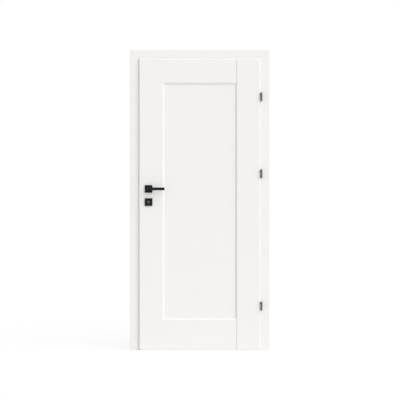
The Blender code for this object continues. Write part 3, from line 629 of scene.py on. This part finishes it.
screw_maker = screw_tree()
strike_middle = (strike_low + strike_high) / 2
strike_screws = [(strike_high.x - SCREW_SINK, strike_middle.y, strike_low.z + STRIKE_SCREW_INSET),
                 (strike_high.x - SCREW_SINK, strike_middle.y, strike_high.z - STRIKE_SCREW_INSET)]
strike_shape = from_edge(strike_low, strike_high, 0.0, STRIKE_CORNER)
strike = flat_plate([strike_shape, *bolt_outlines(STRIKE_HOLE_MARGIN)], strike_high.x - strike_low.x,
                    on_edge(strike_middle.x))
strike = worked(strike, countersinks(strike_screws, (1, 0, 0)))
finished("strike_plate_stamping", strike, "frame", zinc_steel, ["strike_plate"],
         PLATE_EASING)
screws("strike_plate_screws", strike_screws, (1, 0, 0), "frame", STRIKE_TURN_SEED, zinc_steel)


# Hinges, frame parts
# Turned steel barrels, 13 mm thick, with a dark satin coating. The lower half of each hinge carries a
# fixed pin, and its shank is driven through the casing into a bore in the hinge jamb.
PIN_RADIUS = 0.0035
PIN_LENGTH = 0.024
PIN_POINT = 0.001
KNUCKLE_SEAT = 0.0003
KNUCKLE_EDGE = 0.0003
CAP_ROUND = 0.0016
CAP_DOME = 0.0004
CAP_STEPS = 6
HINGE_GREY = (0.13, 0.13, 0.13)

hinge_steel = surface_finish("dark coated hinge steel", HINGE_GREY, roughness=0.38, metallic=0.9,
                             grain=420, relief=0.000015, drift=0.12, stretch=(1, 1, 5))


def turned(profile, centre):
    """A turned shape, as a mesh, from (radius, height) points about an upright axis."""
    shape = bmesh.new()
    points = [shape.verts.new((radius, 0, height)) for radius, height in profile]
    edges = [shape.edges.new(pair) for pair in zip(points, points[1:])]
    bmesh.ops.spin(shape, geom=points + edges, cent=(0, 0, 0), axis=(0, 0, 1), angle=2 * math.pi,
                   steps=ROUND_SIDES, use_merge=True, use_duplicate=False)
    bmesh.ops.remove_doubles(shape, verts=shape.verts, dist=SAME_SPOT)
    bmesh.ops.recalc_face_normals(shape, faces=shape.faces)
    bmesh.ops.translate(shape, vec=centre, verts=shape.verts)
    mesh = bpy.data.meshes.new("turned")
    shape.to_mesh(mesh)
    shape.free()
    return mesh


def knuckle_cap(end):
    """The rounded end of a knuckle, from its middle out to its side, at a height of end."""
    way = math.copysign(1, end)
    points = [(0, end), (KNUCKLE_RADIUS - CAP_ROUND, end - way * CAP_DOME)]
    for step in range(1, CAP_STEPS + 1):
        turn = math.pi / 2 * step / CAP_STEPS
        points.append((KNUCKLE_RADIUS - CAP_ROUND * (1 - math.sin(turn)),
                       end - way * (CAP_DOME + CAP_ROUND * (1 - math.cos(turn)))))
    return points


for level in HINGES:
    barrel = turned([*knuckle_cap(-HINGE_LENGTH / 2),
                     (KNUCKLE_RADIUS, -KNUCKLE_SEAT - KNUCKLE_EDGE),
                     (KNUCKLE_RADIUS - KNUCKLE_EDGE, -KNUCKLE_SEAT),
                     (PIN_RADIUS, -KNUCKLE_SEAT),
                     (PIN_RADIUS, PIN_LENGTH - PIN_POINT),
                     (PIN_RADIUS - PIN_POINT, PIN_LENGTH),
                     (0, PIN_LENGTH)], hinge_centres[level])
    start = frame_shanks[level]
    shank = rod(SHANK_RADIUS, start, (start.x, frame_shank_end, start.z))
    finished(level + "_hinge_frame_knuckle", worked(barrel, [(shank, "UNION")]), "frame",
             hinge_steel, [level + "_hinge_frame_part"])


# Leaf
# Stiles, rails and panel of fibreboard over a light core, lacquered white. The rails are coped to the
# moulded stiles and glued on stub tenons, the panel floats in their grooves, and a lip laps the frame.
# A full round runs along the lip's front, and a fine shadow line beside the hinge stile's proud edge.
HINGE_STILE_WIDTH = 0.167
LIP_ROUND = 0.014
LIP_ROUND_CLEAR = (0.0003, 0.0008)
SHADOW_LINE = (0.0020, 0.0045)
FLAT = math.radians(0.3)
LEAF_EASING = 0.0003

leaf_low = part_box("lock_stile")[0]
leaf_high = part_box("hinge_stile")[1]
leaf_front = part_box("top_rail")[0].y
leaf_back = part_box("top_rail")[1].y


def whole_faces(node):
    """A CAD board as a mesh whose flat faces are whole again."""
    shape = bmesh.new()
    shape.from_mesh(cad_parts[node].data)
    bmesh.ops.remove_doubles(shape, verts=shape.verts, dist=SAME_SPOT)
    bmesh.ops.dissolve_limit(shape, angle_limit=FLAT, verts=shape.verts, edges=shape.edges)
    mesh = bpy.data.meshes.new(node)
    shape.to_mesh(mesh)
    shape.free()
    return mesh


def on_face(x, y, z):
    """The place of a flat shape on the leaf's face, with its outline's Y upright."""
    return Matrix(((1, 0, 0, x), (0, 0, -1, y), (0, 1, 0, z), (0, 0, 0, 1)))


def lip_form(front):
    """The form of the leaf with a full round along its top and its sides, ahead of a front face."""
    side, ahead = LIP_ROUND_CLEAR
    outline = rectangle((leaf_low.x - side, leaf_low.z - 2 * LIP_ROUND),
                        (leaf_high.x + side, leaf_high.z + side))
    near = front - ahead
    far = leaf_high.y + 2 * LIP_ROUND
    return flat_plate([outline], far - near, on_face(0, (near + far) / 2, 0), LIP_ROUND, ARC_STEPS)


def shadow_line():
    """What is cut beside the hinge stile's proud edge, out of the stile and the ends of the rails."""
    joint = leaf_high.x - HINGE_STILE_WIDTH
    width, depth = SHADOW_LINE
    outline = rectangle((joint - width, leaf_low.z - OVERRUN), (joint + HAIRLINE, leaf_high.z + OVERRUN))
    return flat_plate([outline], depth + OVERRUN, on_face(0, leaf_front + (depth - OVERRUN) / 2, 0))


for node in ("lock_stile", "hinge_stile", "top_rail", "bottom_rail", "panel"):
    board = whole_faces(node)
    if node != "panel":
        board = worked(board, [(lip_form(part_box(node)[0].y), "INTERSECT")])
    if node in ("hinge_stile", "top_rail", "bottom_rail"):
        board = worked(board, [(shadow_line(), "DIFFERENCE")])
    finished(node + "_board", board, "leaf", lacquer, [node], LEAF_EASING)


# Hinges, leaf parts
# The upper halves, bored to drop over the pins. Their shanks run at a slant into the hinge stile, so
# that they pass under the lip and bite in the full thickness of the leaf.
BORE_RADIUS = 0.0038
BORE_DEPTH = 0.0246
LEAF_SHANK_DEPTH = 0.040
LEAF_SHANK_ANGLE = math.radians(40)

leaf_shank_way = Vector((-math.cos(LEAF_SHANK_ANGLE), math.sin(LEAF_SHANK_ANGLE), 0))
for level in HINGES:
    centre = hinge_centres[level]
    barrel = turned([*knuckle_cap(HINGE_LENGTH / 2),
                     (KNUCKLE_RADIUS, KNUCKLE_SEAT + KNUCKLE_EDGE),
                     (KNUCKLE_RADIUS - KNUCKLE_EDGE, KNUCKLE_SEAT),
                     (BORE_RADIUS, KNUCKLE_SEAT),
                     (BORE_RADIUS, BORE_DEPTH),
                     (0, BORE_DEPTH)], centre)
    high = centre + Vector((0, 0, HINGE_LENGTH / 4 + 2 * KNUCKLE_SEAT))
    shank = rod(SHANK_RADIUS, high + leaf_shank_way * (BORE_RADIUS + HAIRLINE),
                high + leaf_shank_way * (KNUCKLE_RADIUS + LEAF_SHANK_DEPTH))
    finished(level + "_hinge_leaf_knuckle", worked(barrel, [(shank, "UNION")]), "leaf",
             hinge_steel, [level + "_hinge_leaf_part"])


# Lock
# A mortice lock whose zinc-plated forend is let into the leaf's edge and held by a screw at each end.
# A third screw holds the key cylinder. The steel latch and dead bolt are drawn back flush with it.
FOREND_SCREW_INSET = 0.0125
CYLINDER_SCREW_DROP = 0.0185
FOREND_END_STEPS = 12
FOREND_EASING = 0.00012
FOREND_TURN_SEED = 9
LATCH_SLOPE = 0.006
LATCH_FLAT = 0.002
LATCH_ROUNDS = (0.0012, 0.0008)
DEAD_BOLT_ROUND = 0.0009
BOLT_EASING = 0.0004
NICKEL_WHITE = (0.62, 0.60, 0.56)

nickel = surface_finish("satin nickel", NICKEL_WHITE, roughness=0.30, metallic=1.0, grain=500,
                        relief=0.000008, drift=0.08, stretch=(1, 5, 1))

forend_low, forend_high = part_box("lock_forend")
forend_middle = (forend_low + forend_high) / 2
plug_low, plug_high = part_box("front_cylinder_plug")
cylinder_z = (plug_low.z + plug_high.z) / 2
forend_screws = [(forend_low.x + SCREW_SINK, forend_middle.y, height)
                 for height in (forend_low.z + FOREND_SCREW_INSET, cylinder_z - CYLINDER_SCREW_DROP,
                                forend_high.z - FOREND_SCREW_INSET)]
forend_end = (forend_high.y - forend_low.y) / 2 - HAIRLINE
forend_shape = rectangle(forend_low.yz, forend_high.yz, forend_end, FOREND_END_STEPS)
forend = flat_plate([forend_shape, *bolt_outlines(HAIRLINE)], forend_high.x - forend_low.x,
                    on_edge(forend_middle.x))
forend = worked(forend, countersinks(forend_screws, (-1, 0, 0)))
finished("lock_forend_plate", forend, "leaf", zinc_steel, ["lock_forend"], FOREND_EASING)
screws("lock_forend_screws", forend_screws, (-1, 0, 0), "leaf", FOREND_TURN_SEED, zinc_steel)

latch_nose = rounded([
    (latch_low.x, latch_low.y, 0),
    (latch_high.x, latch_low.y, 0),
    (latch_high.x, latch_high.y, 0),
    (latch_low.x + LATCH_SLOPE, latch_high.y, LATCH_ROUNDS[0]),
    (latch_low.x, latch_low.y + LATCH_FLAT, LATCH_ROUNDS[1]),
])
latch = flat_plate([latch_nose], latch_high.z - latch_low.z,
                   Matrix.Translation((0, 0, (latch_low.z + latch_high.z) / 2)))
finished("latch_bolt_nose", latch, "leaf", nickel, ["latch_bolt"], BOLT_EASING)
bolt = flat_plate([rectangle(bolt_low.xy, bolt_high.xy, DEAD_BOLT_ROUND)], bolt_high.z - bolt_low.z,
                  Matrix.Translation((0, 0, (bolt_low.z + bolt_high.z) / 2)))
finished("dead_bolt_bar", bolt, "leaf", nickel, ["dead_bolt"], BOLT_EASING)


# Key cylinder
# A profile cylinder of nickel-plated brass that runs through the leaf, its round head over a narrower
# stem. The plug at each end turns in it, and has a waved keyway so that only its key enters. Both are
# painted far darker than bare nickel, the housing most, as painted shade for the dark reflections they
# show.
CYLINDER_RADIUS = 0.0085
STEM_HALF = 0.005
STEM_DROP = 0.0245
PLUG_RADIUS = 0.0065
PLUG_LENGTH = 0.012
PLUG_CLEARANCE = 0.00015
KEYWAY_DEPTH = 0.0085
FINE_SIDES = 64
HOUSING_EASING = 0.00025
PLUG_EASING = 0.0002
# Painted shade: these greys stand in for the dark reflections of the nickel, with the plug a little
# lighter.
HOUSING_SHADED_GREY = (0.045, 0.045, 0.044)
PLUG_SHADED_GREY = (0.20, 0.20, 0.19)

# Nickel with painted shade: these two finishes carry the darkened greys, for the housing and for the
# plugs.
shaded_nickel = surface_finish("dark nickel", HOUSING_SHADED_GREY, roughness=0.40, metallic=0.9, grain=500,
                             relief=0.000008, drift=0.08, stretch=(1, 5, 1))
shaded_plug_nickel = surface_finish("plug nickel", PLUG_SHADED_GREY, roughness=0.36, metallic=1.0, grain=500,
                             relief=0.000008, drift=0.08, stretch=(1, 5, 1))

spindle_low, spindle_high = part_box("spindle")
spindle_x = (spindle_low.x + spindle_high.x) / 2
spindle_z = (spindle_low.z + spindle_high.z) / 2


def cylinder_outline(growth):
    """The outline of the cylinder: a round head over a stem with a round foot."""
    radius = CYLINDER_RADIUS + growth
    half = STEM_HALF + growth
    start = -math.acos(half / radius)
    sweep = math.pi - 2 * start
    head = []
    for side in range(ROUND_SIDES + 1):
        turn = start + sweep * side / ROUND_SIDES
        head.append(Vector((radius * math.cos(turn), radius * math.sin(turn))))
    foot = half - HAIRLINE
    drop = -STEM_DROP - growth
    stem = rounded([(-half, -radius, 0), (-half, drop, foot), (half, drop, foot), (half, -radius, 0)])
    return head + stem


housing_low, housing_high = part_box("cylinder_housing")
housing = flat_plate([cylinder_outline(0)], housing_high.y - housing_low.y,
                     on_face(spindle_x, (housing_low.y + housing_high.y) / 2, cylinder_z))
plug_seats = []
for face, way in ((housing_low.y, 1), (housing_high.y, -1)):
    seat = rod(PLUG_RADIUS + PLUG_CLEARANCE, (spindle_x, face - way * OVERRUN, cylinder_z),
               (spindle_x, face + way * (PLUG_LENGTH + HAIRLINE), cylinder_z), FINE_SIDES)
    plug_seats.append((seat, "DIFFERENCE"))
finished("cylinder_housing_brass", worked(housing, plug_seats), "leaf", shaded_nickel,
         ["cylinder_housing"], HOUSING_EASING)

keyway = [(-0.0004, -0.0035), (0.0008, -0.0035), (0.0008, -0.0019), (0.0003, -0.0013), (0.0003, 0.0002),
          (0.0008, 0.0008), (0.0008, 0.0021), (0.0003, 0.0027), (0.0003, 0.0035), (-0.0006, 0.0035),
          (-0.0006, 0.0024), (-0.0001, 0.0018), (-0.0001, 0.0011), (-0.0007, 0.0005), (-0.0007, -0.0008),
          (-0.0002, -0.0014), (-0.0002, -0.0022), (-0.0004, -0.0026)]
for side, face, way in (("front", housing_low.y, 1), ("back", housing_high.y, -1)):
    plug = rod(PLUG_RADIUS, (spindle_x, face, cylinder_z),
               (spindle_x, face + way * PLUG_LENGTH, cylinder_z), FINE_SIDES)
    slot_middle = face + way * (KEYWAY_DEPTH - OVERRUN) / 2
    slot = flat_plate([keyway], KEYWAY_DEPTH + OVERRUN, on_face(spindle_x, slot_middle, cylinder_z))
    finished(side + "_cylinder_plug_brass", worked(plug, [(slot, "DIFFERENCE")]), "leaf",
             shaded_plug_nickel, [side + "_cylinder_plug"], PLUG_EASING)


# Rosettes
# Square cast plates with a matt black powder coat, 53 mm wide and 8 mm thick, round the lever necks and
# the key cylinder. They are screwed through the leaf to each other from behind their faces.
ROSETTE_CORNER = 0.003
ROSETTE_EASING = 0.0008
ROSETTE_STEPS = 4
NECK_RADIUS = 0.009
CYLINDER_DROP = 0.0015
COAT_BLACK = (0.006, 0.006, 0.0065)
COAT_SHINE = 0.2

powder_coat = surface_finish("matt black powder coat", COAT_BLACK, roughness=0.42, metallic=0.0,
                             grain=1100, relief=0.00004, drift=0.12)
coat_shader = powder_coat.node_tree.nodes["Principled BSDF"]
coat_shader.inputs["Specular IOR Level"].default_value = COAT_SHINE

neck_hole = []
hole_radius = NECK_RADIUS + HAIRLINE
for side in range(ROUND_SIDES):
    turn = math.tau * side / ROUND_SIDES
    neck_hole.append(Vector((hole_radius * math.cos(turn), hole_radius * math.sin(turn))))
cylinder_hole = [point + Vector((0, CYLINDER_DROP)) for point in cylinder_outline(HAIRLINE)]
for side in ("front", "back"):
    for use, hole in (("lever", neck_hole), ("cylinder", cylinder_hole)):
        node = f"{side}_{use}_rosette"
        low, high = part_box(node)
        middle = (low + high) / 2
        half = (high.x - low.x) / 2
        square = rectangle((-half, -half), (half, half), ROSETTE_CORNER)
        plate = flat_plate([square, hole], high.y - low.y, on_face(*middle), ROSETTE_EASING,
                           ROSETTE_STEPS)
        finished(node + "_plate", plate, "leaf", powder_coat, [node])


# Levers
# Cast bars, 20 by 11 mm, that turn square from their necks, with softened edges and the same black
# coat. Each neck turns in its rosette, and a socket screw under the root clamps it on the spindle.
LEVER_REACH = 0.112
LEVER_PROJECTION = 0.058
LEVER_HEIGHT = 0.020
LEVER_THICKNESS = 0.011
LEVER_ROOT = 0.011
LEVER_SHOULDER = 0.0096
LEVER_OUTER_BEND = 0.015
LEVER_INNER_BEND = 0.007
LEVER_BEND_STEPS = 12
LEVER_EASING = 0.0015
LEVER_EASING_STEPS = 4
NECK_GAP = 0.0006
SOCKET_HALF = 0.0043
SOCKET_DEPTH = 0.0223
GRUB_SIDES = 32
GRUB_RADIUS = 0.002
GRUB_CLEARANCE = 0.0001
GRUB_KEY_SIDES = 6
GRUB_KEY_RADIUS = 0.0012
GRUB_DEPTH = 0.004
GRUB_SINK = 0.0008
GRUB_SETBACK = 0.0065


def grub_screw_tree():
    """Sets a grub screw with a six-sided socket at each point, pointing down."""
    tree, given, ends = new_tree("grub screws", [("Radius", "Float"), ("Length", "Float"),
                                                 ("Socket Radius", "Float"), ("Finish", "Material")])
    body = add_node(tree, "GeometryNodeMeshCylinder",
                    {"Vertices": GRUB_SIDES, "Radius": given["Radius"], "Depth": given["Length"]})
    key = add_node(tree, "GeometryNodeMeshCylinder",
                   {"Vertices": GRUB_KEY_SIDES, "Radius": given["Socket Radius"],
                    "Depth": given["Length"]})
    half = add_node(tree, "ShaderNodeMath", {0: given["Length"], 1: -0.5}, operation="MULTIPLY")
    down = add_node(tree, "ShaderNodeCombineXYZ", {"Z": half.outputs[0]})
    lowered = add_node(tree, "GeometryNodeTransform",
                       {"Geometry": key.outputs["Mesh"], "Translation": down.outputs[0]})
    cut = add_node(tree, "GeometryNodeMeshBoolean",
                   {"Mesh 1": body.outputs["Mesh"], "Mesh 2": lowered.outputs[0]},
                   operation="DIFFERENCE", solver="EXACT")
    set_out = add_node(tree, "GeometryNodeInstanceOnPoints",
                       {"Points": given["Geometry"], "Instance": cut.outputs["Mesh"]})
    end_tree(tree, set_out.outputs[0], ends, given["Finish"])
    return tree


grub_spots = []
for side, face, way in (("front", leaf_front, -1), ("back", leaf_back, 1)):
    plan = rounded([
        (-LEVER_ROOT, LEVER_SHOULDER, 0),
        (LEVER_ROOT, LEVER_SHOULDER, 0),
        (LEVER_ROOT, LEVER_PROJECTION - LEVER_THICKNESS, LEVER_INNER_BEND),
        (LEVER_REACH, LEVER_PROJECTION - LEVER_THICKNESS, LEVER_EASING),
        (LEVER_REACH, LEVER_PROJECTION, LEVER_EASING),
        (-LEVER_ROOT, LEVER_PROJECTION, LEVER_OUTER_BEND),
    ], LEVER_BEND_STEPS)
    plan = [(spindle_x + x, face + way * y) for x, y in plan]
    bar = flat_plate([plan], LEVER_HEIGHT, Matrix.Translation((0, 0, spindle_z)))
    neck = rod(NECK_RADIUS, (spindle_x, face + way * NECK_GAP, spindle_z),
               (spindle_x, face + way * (LEVER_SHOULDER + LEVER_ROOT), spindle_z), FINE_SIDES)
    socket_middle = face + way * (SOCKET_DEPTH - OVERRUN) / 2
    socket = flat_plate([rectangle((-SOCKET_HALF, -SOCKET_HALF), (SOCKET_HALF, SOCKET_HALF))],
                        SOCKET_DEPTH + OVERRUN, on_face(spindle_x, socket_middle, spindle_z))
    grub_y = face + way * (LEVER_SHOULDER + GRUB_SETBACK)
    underside = spindle_z - LEVER_HEIGHT / 2
    grub_hole = rod(GRUB_RADIUS + GRUB_CLEARANCE, (spindle_x, grub_y, underside - OVERRUN),
                    (spindle_x, grub_y, underside + GRUB_DEPTH + GRUB_SINK), GRUB_SIDES)
    grub_spots.append((spindle_x, grub_y, underside + GRUB_SINK + GRUB_DEPTH / 2))
    lever = worked(eased(bar, LEVER_EASING, LEVER_EASING_STEPS),
                   [(neck, "UNION"), (socket, "DIFFERENCE"), (grub_hole, "DIFFERENCE")])
    finished(side + "_lever_bar", lever, "lever_set", powder_coat, [side + "_lever"])

spots = bpy.data.meshes.new("places")
spots.from_pydata(grub_spots, [], [])
grub_mesh = grown(spots, grub_screw_tree(), {"Radius": GRUB_RADIUS, "Length": GRUB_DEPTH,
                                             "Socket Radius": GRUB_KEY_RADIUS, "Finish": hinge_steel})
finished("lever_grub_screws", grub_mesh, "lever_set", hinge_steel, [])


# Spindle
# A square bar of zinc-plated steel, 8 mm across, that runs through the lock's follower and into the
# square sockets of both necks. Its corners are broken so that the levers slide on.
SPINDLE_EASING = 0.0005

finished("spindle_bar", whole_faces("spindle"), "lever_set", zinc_steel, ["spindle"],
         SPINDLE_EASING)


# Studio
# A pale floor and a white surround, one very wide soft light from the upper right, and a long lens
# straight on to the closed door. What is seen of the floor is mostly its own glow, so that it reads as
# white and still holds a soft shadow.
LIGHT_FROM = (0.55, -0.60, 0.58)
LIGHT_SPREAD = math.radians(65)
LIGHT_STRENGTH = 1.7
SURROUND_STRENGTH = 0.615
WHITE = (1, 1, 1, 1)
FLOOR_GREY = (0.78, 0.78, 0.78, 1)
FLOOR_GLOW = 1.098
FLOOR_GLOW_SHARE = 0.75
FLOOR_REACH = 40
EYE = (-0.4206, -12.076, 1.0478)
LENS = 154.7
SIGHT = 200


def seen_directly(tree):
    """1 for rays from the camera, a mirror or a clear material, and 0 for rays that light something."""
    path = add_node(tree, "ShaderNodeLightPath")
    mirror = add_node(tree, "ShaderNodeMath", {0: path.outputs["Is Camera Ray"],
                                               1: path.outputs["Is Glossy Ray"]}, operation="MAXIMUM")
    any_of = add_node(tree, "ShaderNodeMath",
                      {0: mirror.outputs[0], 1: path.outputs["Is Transmission Ray"]},
                      operation="MAXIMUM")
    return any_of.outputs[0]


world = bpy.data.worlds.new("surround")
world.use_nodes = True
bpy.context.scene.world = world
sky = world.node_tree
soft = sky.nodes["Background"]
soft.inputs["Strength"].default_value = SURROUND_STRENGTH
soft.inputs["Color"].default_value = WHITE
white = add_node(sky, "ShaderNodeBackground", {"Color": WHITE, "Strength": 1.0})
shown = add_node(sky, "ShaderNodeMixShader",
                 {0: seen_directly(sky), 1: soft.outputs[0], 2: white.outputs[0]})
sky.links.new(shown.outputs[0], sky.nodes["World Output"].inputs["Surface"])

floor_finish = bpy.data.materials.new("pale floor")
floor_finish.use_nodes = True
ground = floor_finish.node_tree
ground.nodes.remove(ground.nodes["Principled BSDF"])
matt = add_node(ground, "ShaderNodeBsdfDiffuse", {"Color": FLOOR_GREY})
bright = add_node(ground, "ShaderNodeEmission", {"Color": WHITE, "Strength": FLOOR_GLOW})
share = add_node(ground, "ShaderNodeMath", {0: seen_directly(ground), 1: FLOOR_GLOW_SHARE},
                 operation="MULTIPLY")
both = add_node(ground, "ShaderNodeMixShader",
                {0: share.outputs[0], 1: matt.outputs[0], 2: bright.outputs[0]})
ground.links.new(both.outputs[0], ground.nodes["Material Output"].inputs["Surface"])
floor_mesh = bpy.data.meshes.new("floor")
floor_corners = rectangle((-FLOOR_REACH, -FLOOR_REACH), (FLOOR_REACH, FLOOR_REACH))
floor_mesh.from_pydata([(x, y, 0) for x, y in floor_corners], [], [(0, 1, 2, 3)])
floor_mesh.materials.append(floor_finish)
placed("floor", floor_mesh)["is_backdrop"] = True

light_data = bpy.data.lights.new("soft light", "SUN")
light_data.energy = LIGHT_STRENGTH
light_data.angle = LIGHT_SPREAD
light = placed("soft light", light_data)
light.rotation_euler = Vector(LIGHT_FROM).to_track_quat("Z", "Y").to_euler()

camera_data = bpy.data.cameras.new("camera")
camera_data.lens = LENS
camera_data.clip_end = SIGHT
camera = placed("camera", camera_data)
camera.location = EYE
camera.rotation_euler = (math.pi / 2, 0, 0)
bpy.context.scene.camera = camera
bpy.context.scene.view_settings.view_transform = "Standard"

low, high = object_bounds()
